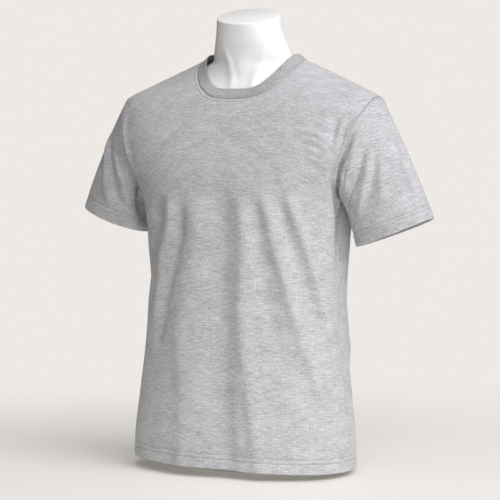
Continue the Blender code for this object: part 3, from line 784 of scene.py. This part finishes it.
def makeNeckband(front, back):
    def edge(panel):
        line, normals = panel["skin"][-1], panel["normals"][-1]
        return line, normals, outwardInCloth(line, normals, -1)

    frontEdge, backEdge = edge(front), edge(back)
    seam, normals, out = (np.concatenate([a, b[1:-1]]) for a, b in zip(frontEdge, backEdge))
    last = len(frontEdge[0]) - 1
    for index, other in ((0, -1), (last, 0)):
        normals[index] = unit(frontEdge[1][index] + backEdge[1][other])
        out[index] = unit(frontEdge[2][index] + backEdge[2][other])
    centreY = float(sectionAt(np.array([bodyShape["neckHeight"]])).centre[0])
    atBack = seam[:, 1] > centreY
    depth, rise, power, neckDepth = (
        np.where(atBack, sizes["back"], sizes["front"])
        for sizes in (bandMake["depth"], bandMake["rise"], bandMake["power"], bodyShape["neckDepth"])
    )
    halfWidth, squareness = (
        np.where(seam[:, 0] > 0, sizes["left"], sizes["right"])
        for sizes in (bandMake["halfWidth"], bandMake["squareness"])
    )
    angle = np.arctan2((seam[:, 1] - centreY) / neckDepth, seam[:, 0] / bodyShape["neckHalfWidth"])
    toMiddle = np.abs(np.sin(angle)) ** power
    lift = bandMake["riseSide"] + (rise - bandMake["riseSide"]) * toMiddle
    x, y = roundedCorner(halfWidth, depth, squareness, math.pi / 2 - np.abs(angle))
    end = np.stack([x, centreY + np.where(atBack, y, -y), seam[:, 2] + lift], axis=-1)
    reach = np.linalg.norm(end - seam, axis=1)[:, None]
    points = np.array([
        hermite(seam, out * reach * bandMake["startPull"], end, (end - seam) * bandMake["endPull"], t)
        for t in bandMake["shares"]
    ])
    fromSeam = edgeLengths(points)
    detail = edgeRoll(farEdgeLengths(points), bandMake["roll"])
    detail += bandMake["proud"] * (1.0 - bell(fromSeam, bandMake["proudFrom"]))
    girth = edgeLengths(closedRound(points), 1)
    middle = len(bandMake["shares"]) // 2
    flat = np.stack([np.broadcast_to(girth[middle], girth.shape), closedRound(fromSeam)], axis=-1)
    points = pushed(points, detail) + sink(fromSeam, normals)
    wall = np.full(points.shape[:2], bandMake["wall"])
    return clothPiece("neckband_rib", points, flat, wall, True)


frontPanel = makePanel("front_panel_jersey", "front", 1)
backPanel = makePanel("back_panel_jersey", "back", 5)
sleeves = [makeSleeve(row, frontPanel, backPanel, 9 + 3 * i) for i, row in enumerate(sleeveMake["sleeves"])]
neckband = makeNeckband(frontPanel, backPanel)


# stitches: one is modelled, and its copies follow the seam lines

threadMake = {"pitch": 0.0030, "length": 0.0024, "halfWidth": 0.00032, "halfHeight": 0.00026}
lookAhead = 0.0005             # to find which way a seam runs


def lineAtDistance(points, distance, at):
    # where each column of a grid crosses a given distance from its edge
    line = []
    for column in range(points.shape[1]):
        order = np.argsort(distance[:, column])
        line.append(rowsBetween(at, distance[order, column], points[order, column]))
    return np.array(line)


def stitchRow(line, normals, closed):
    if closed:
        line = np.concatenate([line, line[:1]])
        normals = np.concatenate([normals, normals[:1]])
    length = edgeLengths(line)
    at = np.arange(0.5 * threadMake["pitch"], length[-1], threadMake["pitch"])
    place, up = rowsBetween(at, length, line), unit(rowsBetween(at, length, normals))
    along = unit(rowsBetween(at + lookAhead, length, line) - place)
    side = unit(np.cross(up, along))
    return place, along, side, np.cross(along, side)


def makeStitches(name, rows):
    one = startPiece("one stitch", bpy.ops.mesh.primitive_ico_sphere_add, subdivisions=1, radius=1.0)
    shape = np.array([v.co for v in one.data.vertices])
    faces = np.array([list(p.vertices) for p in one.data.polygons])
    bpy.ops.object.delete()
    shape = shape * (threadMake["length"] / 2, threadMake["halfWidth"], threadMake["halfHeight"])
    verts, polygons = [], []
    for place, along, side, up in rows:
        for p, a, s, u in zip(place, along, side, up):
            polygons.append(faces + len(verts) * len(shape))
            verts.append(p + shape[:, :1] * a + shape[:, 1:2] * s + shape[:, 2:] * u)
    mesh = bpy.data.meshes.new(name)
    mesh.from_pydata(np.concatenate(verts).tolist(), [], np.concatenate(polygons).tolist())
    piece = bpy.data.objects.new(name, mesh)
    bpy.context.scene.collection.objects.link(piece)
    mesh.shade_smooth()
    print(name, len(polygons), "stitches")
    return piece


def seamStitches(name, points, distance, ats, closed=False):
    normals = gridNormals(points, closed)
    return makeStitches(name, [
        stitchRow(lineAtDistance(points, distance, at), lineAtDistance(normals, distance, at), closed)
        for at in ats
    ])


hemStitches = {}
for key, panel in (("front", frontPanel), ("back", backPanel)):
    hemStitches[key] = seamStitches(
        "hem_stitches_" + key, panel["points"], panel["fromHem"], panelMake["rows"]
    )
    hemStitches[key + "Neck"] = seamStitches(
        "neck_stitches_" + key, panel["points"], panel["fromTop"], (panelMake["neckRow"],)
    )
cuffStitches = [
    seamStitches(
        "cuff_stitches_" + row.name.split("_")[1], made["points"], made["fromCuff"],
        sleeveMake["rows"], True,
    )
    for row, made in zip(sleeveMake["sleeves"], sleeves)
]


# dress form

formMake = {
    "columns": 224,
    "spacing": 0.007,
    "tendons": [       # height, and across, of each soft ridge on the front of the neck
        ((0.700, -0.014), (0.713, -0.018), (0.735, -0.0245), (0.755, -0.032)),
        ((0.700, 0.027), (0.713, 0.031), (0.735, 0.040), (0.755, 0.050)),
    ],
    "tendonFrom": (0.672, 0.692),      # where they rise, and where they have risen
    "tendonTo": (0.772, 0.732),
    "tendonRise": 0.0029,
    "tendonWidth": 0.0068,
    "capTilt": 15.6,
    "capLean": -0.047,       # its rise towards the left side
    "capFrom": 0.777,
    "capEdge": 0.0016,
    "capSegments": 3,
    "smoothAngle": 40,
    "sections": sectionTable(
        (0, 128, 72, 78, -4, 2.2),
        (22, 130, 74, 80, -4, 2.2),
        (50, 151, 92, 93, -4, 2.2),
        (90, 158, 97, 96, -4, 2.2),
        (140, 157, 97, 96, -3, 2.2),
        (240, 150, 95, 93, -1, 2.2),
        (340, 152, 97, 95, 0, 2.2),
        (440, 156, 108, 100, 1, 2.2),
        (520, 180, 111, 104, 3, 2.2),
        (580, 213, 104, 99, 7, 2.1),
        (620, 234, 93, 92, 10, 2),
        (650, 244, 81, 86, 10.5, 1.9),
        (664, 243, 73, 78, 10, 1.8),
        (670, 236, 69, 74, 10, 1.7),
        (686.5, 202, 62.5, 70, 13, 1.55),
        (706, 150, 59, 62, 16.5, 1.4),
        (720, 112, 61, 51, 18, 1.4),
        (732, 81.5, 60.5, 47.5, 18, 1.65),
        (742, 75.6, 60, 48.5, 16.5, 1.95),
        (755, 70, 59, 52.5, 13, 2.2),
        (765, 65.5, 57.5, 56, 8, 2.3),
        (777, 62, 56.5, 57, 4, 2.3),
        (813.8, 56.5, 56, 56.5, -4, 2.15),
    ),
}


def formHeights():
    heights = [formMake["sections"][0].height]
    for low, high in zip(formMake["sections"], formMake["sections"][1:]):
        steps = max(2, round((high.height - low.height) / formMake["spacing"]))
        heights += [low.height + (high.height - low.height) * (i + 1) / steps for i in range(steps)]
    return heights


def tendonRelief(points, centre):
    x, y, height = points.T
    total = np.zeros_like(x)
    for tendon in formMake["tendons"]:
        at = np.array(tendon)
        middle = np.interp(height, at[:, 0], at[:, 1])
        total += bell(x - middle, formMake["tendonWidth"])
    for start, full in (formMake["tendonFrom"], formMake["tendonTo"]):
        total *= smoothStep((height - start) / (full - start))
    return formMake["tendonRise"] * total * (y < centre)


def makeForm():
    heights = formHeights()
    piece = startPiece(
        "dress_form_shell", bpy.ops.mesh.primitive_circle_add, vertices=formMake["columns"], radius=0.1,
        fill_type="NGON", location=(0.0, 0.0, heights[0]),
    )
    mode("EDIT")
    bpy.ops.mesh.select_all(action="SELECT")
    for low, high in zip(heights, heights[1:]):
        bpy.ops.mesh.extrude_region_move(TRANSFORM_OT_translate={"value": (0.0, 0.0, high - low)})
    bpy.ops.mesh.select_all(action="SELECT")
    bpy.ops.mesh.normals_make_consistent(inside=False)
    mode("OBJECT")
    bpy.ops.object.transform_apply(location=True)
    verts = piece.data.vertices
    co = np.array([v.co for v in verts])
    height = co[:, 2]
    row = sectionAt(height, formMake)
    turn = (np.degrees(np.arctan2(co[:, 1], co[:, 0])) / 90.0 + 1.0) % 4.0
    placed = []
    for i, (t, h) in enumerate(zip(turn, height)):
        atBack = 1.0 < t < 3.0
        share = abs(t - 2.0) if atBack else min(t, 4.0 - t)
        depth = row.back[i] if atBack else row.front[i]
        x, y, _ = quarterCurve(row.halfWidth[i], depth, row.squareness[i])
        at = np.linspace(0.0, 1.0, len(x))
        placed.append((
            math.copysign(float(np.interp(share, at, x)), 1.0 if t < 2.0 else -1.0),
            row.centre[i] + (1.0 if atBack else -1.0) * float(np.interp(share, at, y)),
            h,
        ))
    placed = np.array(placed)
    top = formMake["sections"][-1]
    placed[:, 1] -= tendonRelief(placed, row.centre)
    rise = np.clip((height - formMake["capFrom"]) / (top.height - formMake["capFrom"]), 0.0, 1.0)
    slope = math.tan(math.radians(formMake["capTilt"]))
    placed[:, 2] += rise * ((placed[:, 1] - top.centre) * slope + placed[:, 0] * formMake["capLean"])
    verts.foreach_set("co", placed.reshape(-1).astype(np.float32))
    piece.data.update()
    mode("EDIT")
    bpy.ops.mesh.select_mode(type="EDGE")
    bpy.ops.mesh.select_all(action="DESELECT")
    mode("OBJECT")
    onCap = np.abs(height - top.height) < 1e-6
    for edge in piece.data.edges:
        edge.select = bool(onCap[edge.vertices[0]] and onCap[edge.vertices[1]])
    mode("EDIT")
    bpy.ops.mesh.bevel(offset=formMake["capEdge"], segments=formMake["capSegments"], affect="EDGES")
    mode("OBJECT")
    bpy.ops.object.shade_smooth_by_angle(angle=math.radians(formMake["smoothAngle"]))
    print("dress form", len(piece.data.polygons), "faces")
    return piece


formPiece = makeForm()


# materials

class Wire:
    # an output that can be used in sums
    def __init__(self, net, socket):
        self.net = net
        self.socket = socket

    def math(self, operation, *values):
        return self.net.node("ShaderNodeMath", {"operation": operation}, dict(enumerate(values)))

    def __add__(self, other):
        return self.math("ADD", self, other)

    def __sub__(self, other):
        return self.math("SUBTRACT", self, other)

    def __rsub__(self, other):
        return self.math("SUBTRACT", other, self)

    def __mul__(self, other):
        return self.math("MULTIPLY", self, other)

    __radd__ = __add__
    __rmul__ = __mul__

    def sine(self):
        return self.math("SINE", self)

    def size(self):
        return self.math("ABSOLUTE", self)

    def between(self, low, high):
        return self.net.node(
            "ShaderNodeMapRange", {"interpolation_type": "SMOOTHSTEP"},
            {"Value": self, "From Min": low, "From Max": high},
        )


class Net:
    # the nodes of a material or of the world
    def __init__(self, owner):
        owner.use_nodes = True
        self.owner = owner
        self.tree = owner.node_tree

    def node(self, kind, settings, sockets, output=0):
        made = self.tree.nodes.new(kind)
        for key, value in settings.items():
            setattr(made, key, value)
        for key, value in sockets.items():
            self.plug(made.inputs[key], value)
        return Wire(self, made.outputs[output])

    def plug(self, socket, value):
        if isinstance(value, Wire):
            self.tree.links.new(value.socket, socket)
        else:
            socket.default_value = value

    def finish(self, shader="Principled BSDF", **sockets):
        for key, value in sockets.items():
            self.plug(self.tree.nodes[shader].inputs[key.replace("_", " ")], value)
        return self.owner

    def place(self, kind="Object"):
        return self.node("ShaderNodeTexCoord", {}, {}, kind)

    def map(self, name):
        return self.node("ShaderNodeUVMap", {"uv_map": name}, {})

    def split(self, source, output=0):
        return self.node("ShaderNodeSeparateXYZ", {}, {"Vector": source}, output)

    def vectors(self, operation, first, second):
        return self.node("ShaderNodeVectorMath", {"operation": operation}, {0: first, 1: second}, "Value")

    def bump(self, strength, distance, height):
        return self.node(
            "ShaderNodeBump", {}, {"Strength": strength, "Distance": distance, "Height": height}
        )

    def cloud(self, source, scale, detail=2.0):
        return self.node("ShaderNodeTexNoise", {}, {"Vector": source, "Scale": scale, "Detail": detail})

    def stretched(self, source, scale, offset=(0.0, 0.0, 0.0)):
        return self.node("ShaderNodeMapping", {}, {"Vector": source, "Scale": scale, "Location": offset})

    def noise(self, source, detail=2.0, roughness=0.5, distortion=0.0):
        return self.node(
            "ShaderNodeTexNoise", {"noise_dimensions": "2D"},
            {"Vector": source, "Scale": 1.0, "Detail": detail, "Roughness": roughness,
             "Distortion": distortion},
        )

    def blend(self, share, first, second):
        return self.node(
            "ShaderNodeMix", {"data_type": "RGBA"}, {"Factor": share, "A": first, "B": second}, "Result"
        )


def grey(level, tint=(1.0, 1.0, 1.0)):
    return tuple(level * t for t in tint) + (1.0,)


jerseyLook = {
    "dark": 0.26,
    "light": 0.75,
    "darkTint": (0.985, 0.990, 1.005),
    "lightTint": (0.980, 0.984, 1.028),
    "streak": (62.0, 400.0, 1.0),       # marl streaks per metre, along and up the cloth
    "fibre": (260.0, 560.0, 1.0),
    "patch": (22.0, 40.0, 1.0),
    "wales": 1000.0,                    # knitted loops per metre
    "courses": 1300.0,
    "shares": (0.95, 0.85, 0.35),       # how much streaks, fibres and patches show
    "lean": 0.6,                        # of the loops, from course to course
    "relief": (0.5, 0.4, 0.8),          # of wales, courses and streaks
    "bump": 0.25,
    "bumpDepth": 0.0004,
    "roughness": 0.92,
    "sheen": 0.15,
    "sheenRoughness": 0.6,
    "specular": 0.25,
    "seam": 0.115,                      # the colour of the painted shade along the seams and in the sleeve's fold
}


def heather(net, cloth, look, seed):
    # light and dark fibres carded together, drawn out along the courses
    streak = net.noise(net.stretched(cloth, look["streak"], (seed, 2 * seed, 0.0)), 3.0, 0.62, 0.15)
    fibre = net.noise(net.stretched(cloth, look["fibre"], (3 * seed, seed, 0.0)), 2.0, 0.6)
    patch = net.noise(net.stretched(cloth, look["patch"], (seed, seed, 0.0)), 2.0, 0.5)
    tone = sum((share * (part - 0.5) for share, part in zip(look["shares"], (streak, fibre, patch))), 0.5)
    colour = net.blend(tone, grey(look["dark"], look["darkTint"]), grey(look["light"], look["lightTint"]))
    return colour, streak


def knit(net, look, colour, height):
    return net.finish(
        Base_Color=colour, Roughness=look["roughness"], Sheen_Weight=look["sheen"],
        Sheen_Roughness=look["sheenRoughness"], Specular_IOR_Level=look["specular"],
        Normal=net.bump(look["bump"], look["bumpDepth"], height),
    )


def jersey(name, look, seed):
    net = Net(bpy.data.materials.new(name))
    cloth = net.map("cloth")
    colour, streak = heather(net, cloth, look, seed)
    # painted shade along the seams and in the sleeve's fold, read from the second map
    colour = net.blend(net.split(net.map("seam")), colour, grey(look["seam"]))
    across, upward = net.split(cloth), net.split(cloth, "Y")
    lean = (upward * (2 * math.pi * look["courses"])).sine() * look["lean"]
    loops = (across * (2 * math.pi * look["wales"]) + lean).sine()
    rows = (upward * (math.pi * look["courses"])).sine().size()
    first, second, third = look["relief"]
    return knit(net, look, colour, loops * first + rows * second + streak * third)


# the grooves between the ribs take a painted shade
ribLook = dict(
    jerseyLook, ribs=700.0, bump=0.14, bumpDepth=0.0005, dark=0.20, light=0.58, grooveShade=0.8, grooveShadeShare=0.12,
    grooveShadeTo=0.4, streakRelief=0.5,
)


def ribKnit(name, look, seed):
    net = Net(bpy.data.materials.new(name))
    cloth = net.map("cloth")
    colour, streak = heather(net, cloth, look, seed)
    ribs = (net.split(cloth) * (2 * math.pi * look["ribs"])).sine()
    # painted shade in the grooves between the ribs
    onRib = ribs.between(-1.0, look["grooveShadeTo"]) * look["grooveShadeShare"] + (1 - look["grooveShadeShare"])
    colour = net.blend(onRib, grey(look["dark"] * look["grooveShade"]), colour)
    return knit(net, look, colour, ribs + streak * look["streakRelief"])


threadLook = {"dark": 0.20, "light": 0.34, "scale": (900.0, 900.0, 900.0), "roughness": 0.7}


def thread(name, look):
    net = Net(bpy.data.materials.new(name))
    tone = net.noise(net.stretched(net.place(), look["scale"]), 1.0)
    colour = net.blend(tone, grey(look["dark"]), grey(look["light"]))
    return net.finish(Base_Color=colour, Roughness=look["roughness"])


formLook = {
    "white": (0.93, 0.925, 0.915, 1.0), "shade": (0.91, 0.905, 0.895, 1.0), "cloud": 14.0,
    "roughness": 0.28, "cloudRoughness": 0.10, "peel": 260.0, "peelBump": 0.05, "peelDepth": 0.0003,
}


def formGloss(name, look):
    net = Net(bpy.data.materials.new(name))
    cloud = net.cloud(net.place(), look["cloud"])
    colour = net.blend(cloud, look["shade"], look["white"])
    peel = net.cloud(net.place(), look["peel"], 1.0)
    return net.finish(
        Base_Color=colour, Roughness=look["roughness"] + cloud * look["cloudRoughness"],
        Normal=net.bump(look["peelBump"], look["peelDepth"], peel),
    )


def dress(piece, material, slot, *nodes):
    piece.data.materials.clear()
    piece.data.materials.append(material)
    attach(piece, "root")
    if nodes:
        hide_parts(*nodes)


threadMaterial = thread("sewing thread", threadLook)
dress(frontPanel["piece"], jersey("heather jersey front", jerseyLook, 1.0), "jersey", "front_panel")
dress(backPanel["piece"], jersey("heather jersey back", jerseyLook, 2.0), "jersey", "back_panel")
for i, (row, made) in enumerate(zip(sleeveMake["sleeves"], sleeves)):
    dress(made["piece"], jersey("heather jersey " + row.name, jerseyLook, 3.0 + i), "jersey", row.name)
dress(neckband, ribKnit("heather rib", ribLook, 4.0), "rib", "neckband")
dress(formPiece, formGloss("satin white", formLook), "form", "dress_form")
for piece in (*hemStitches.values(), *cuffStitches):
    dress(piece, threadMaterial, "jersey")


# floor, light and camera

stageMake = {
    "radius": 9.0, "sides": 96, "middle": (0.22, -0.45, 0.0), "solid": 0.62, "fade": 1.75,
    "floor": (0.72, 0.70, 0.68, 1.0), "pale": 0.72, "cloud": 2.0, "cloudShare": 0.5,
    "glow": (0.165, 0.155, 0.14, 1.0), "roughness": 0.75,
}


def makeFloor():
    floor = startPiece(
        "floor", bpy.ops.mesh.primitive_circle_add, vertices=stageMake["sides"],
        radius=stageMake["radius"], fill_type="NGON",
    )
    net = Net(bpy.data.materials.new("pale floor"))
    far = net.vectors("DISTANCE", net.place(), stageMake["middle"])
    cloud = net.cloud(net.place(), stageMake["cloud"]) * stageMake["cloudShare"]
    floor.data.materials.append(net.finish(
        Base_Color=net.blend(cloud, stageMake["floor"], grey(stageMake["pale"])),
        Roughness=stageMake["roughness"], Alpha=1 - far.between(stageMake["solid"], stageMake["fade"]),
        Emission_Color=stageMake["glow"], Emission_Strength=1.0,
    ))


lightMake = {
    "view": "Standard",        # plain colours, with no film curve
    "ambient": (0.80, 0.79, 0.775),
    "ambientFrom": (0.85, -0.15, 0.50),     # the side that the room is brighter on
    "ambientRange": (0.08, 0.50),
    "seen": (0.855, 0.815, 0.78),
    "lamps": [   # name, place, aim, width, height, power, colour
        ("key", (5.0, -1.9, 4.2), (0.0, 0.0, 0.40), 4.4, 3.4, 300.0, (0.99, 0.99, 1.005)),
        ("fill", (2.4, -4.7, 4.0), (0.0, 0.0, 0.40), 3.4, 3.4, 128.0, (0.995, 0.992, 1.005)),
        ("top", (0.0, 0.4, 5.0), (0.0, 0.4, 0.0), 4.0, 4.0, 30.0, (1.0, 1.0, 1.0)),
    ],
}


def makeLights():
    bpy.context.scene.view_settings.view_transform = lightMake["view"]
    net = Net(bpy.data.worlds.new("studio"))
    side = net.vectors("DOT_PRODUCT", net.place("Generated"), Vector(lightMake["ambientFrom"]).normalized())
    low, high = lightMake["ambientRange"]
    level = net.node(
        "ShaderNodeMapRange", {}, {"Value": side, "From Min": -1.0, "To Min": low, "To Max": high}
    )
    net.tree.nodes.remove(net.tree.nodes["Background"])
    room, seen = (
        net.node("ShaderNodeBackground", {}, {"Color": (*lightMake[key], 1.0), "Strength": strength})
        for key, strength in (("ambient", level), ("seen", 1.0))
    )
    fromCamera = net.node("ShaderNodeLightPath", {}, {}, "Is Camera Ray")
    shown = net.node("ShaderNodeMixShader", {}, {0: fromCamera, 1: room, 2: seen})
    bpy.context.scene.world = net.finish("World Output", Surface=shown)
    for name, place, aim, width, height, power, colour in lightMake["lamps"]:
        bpy.ops.object.light_add(type="AREA", location=place)
        lamp = bpy.context.active_object
        lamp.name = name
        lamp.rotation_euler = (Vector(aim) - Vector(place)).to_track_quat("-Z", "Y").to_euler()
        lamp.data.shape = "RECTANGLE"
        lamp.data.size = width
        lamp.data.size_y = height
        lamp.data.energy = power
        lamp.data.color = colour


cameraMake = {
    "azimuth": 26.0, "elevation": 3.8, "distance": 3.8, "aim": (0.0, 0.0, 0.393),
    "lens": 151.3, "sensor": 36.0,
}


def makeCamera():
    a, e = math.radians(cameraMake["azimuth"]), math.radians(cameraMake["elevation"])
    back = Vector((math.sin(a) * math.cos(e), -math.cos(a) * math.cos(e), math.sin(e)))
    bpy.ops.object.camera_add(location=Vector(cameraMake["aim"]) + back * cameraMake["distance"])
    camera = bpy.context.active_object
    camera.rotation_euler = (-back).to_track_quat("-Z", "Y").to_euler()
    camera.data.lens = cameraMake["lens"]
    camera.data.sensor_width = cameraMake["sensor"]
    bpy.context.scene.camera = camera


makeFloor()
makeLights()
makeCamera()
print("stage ready")
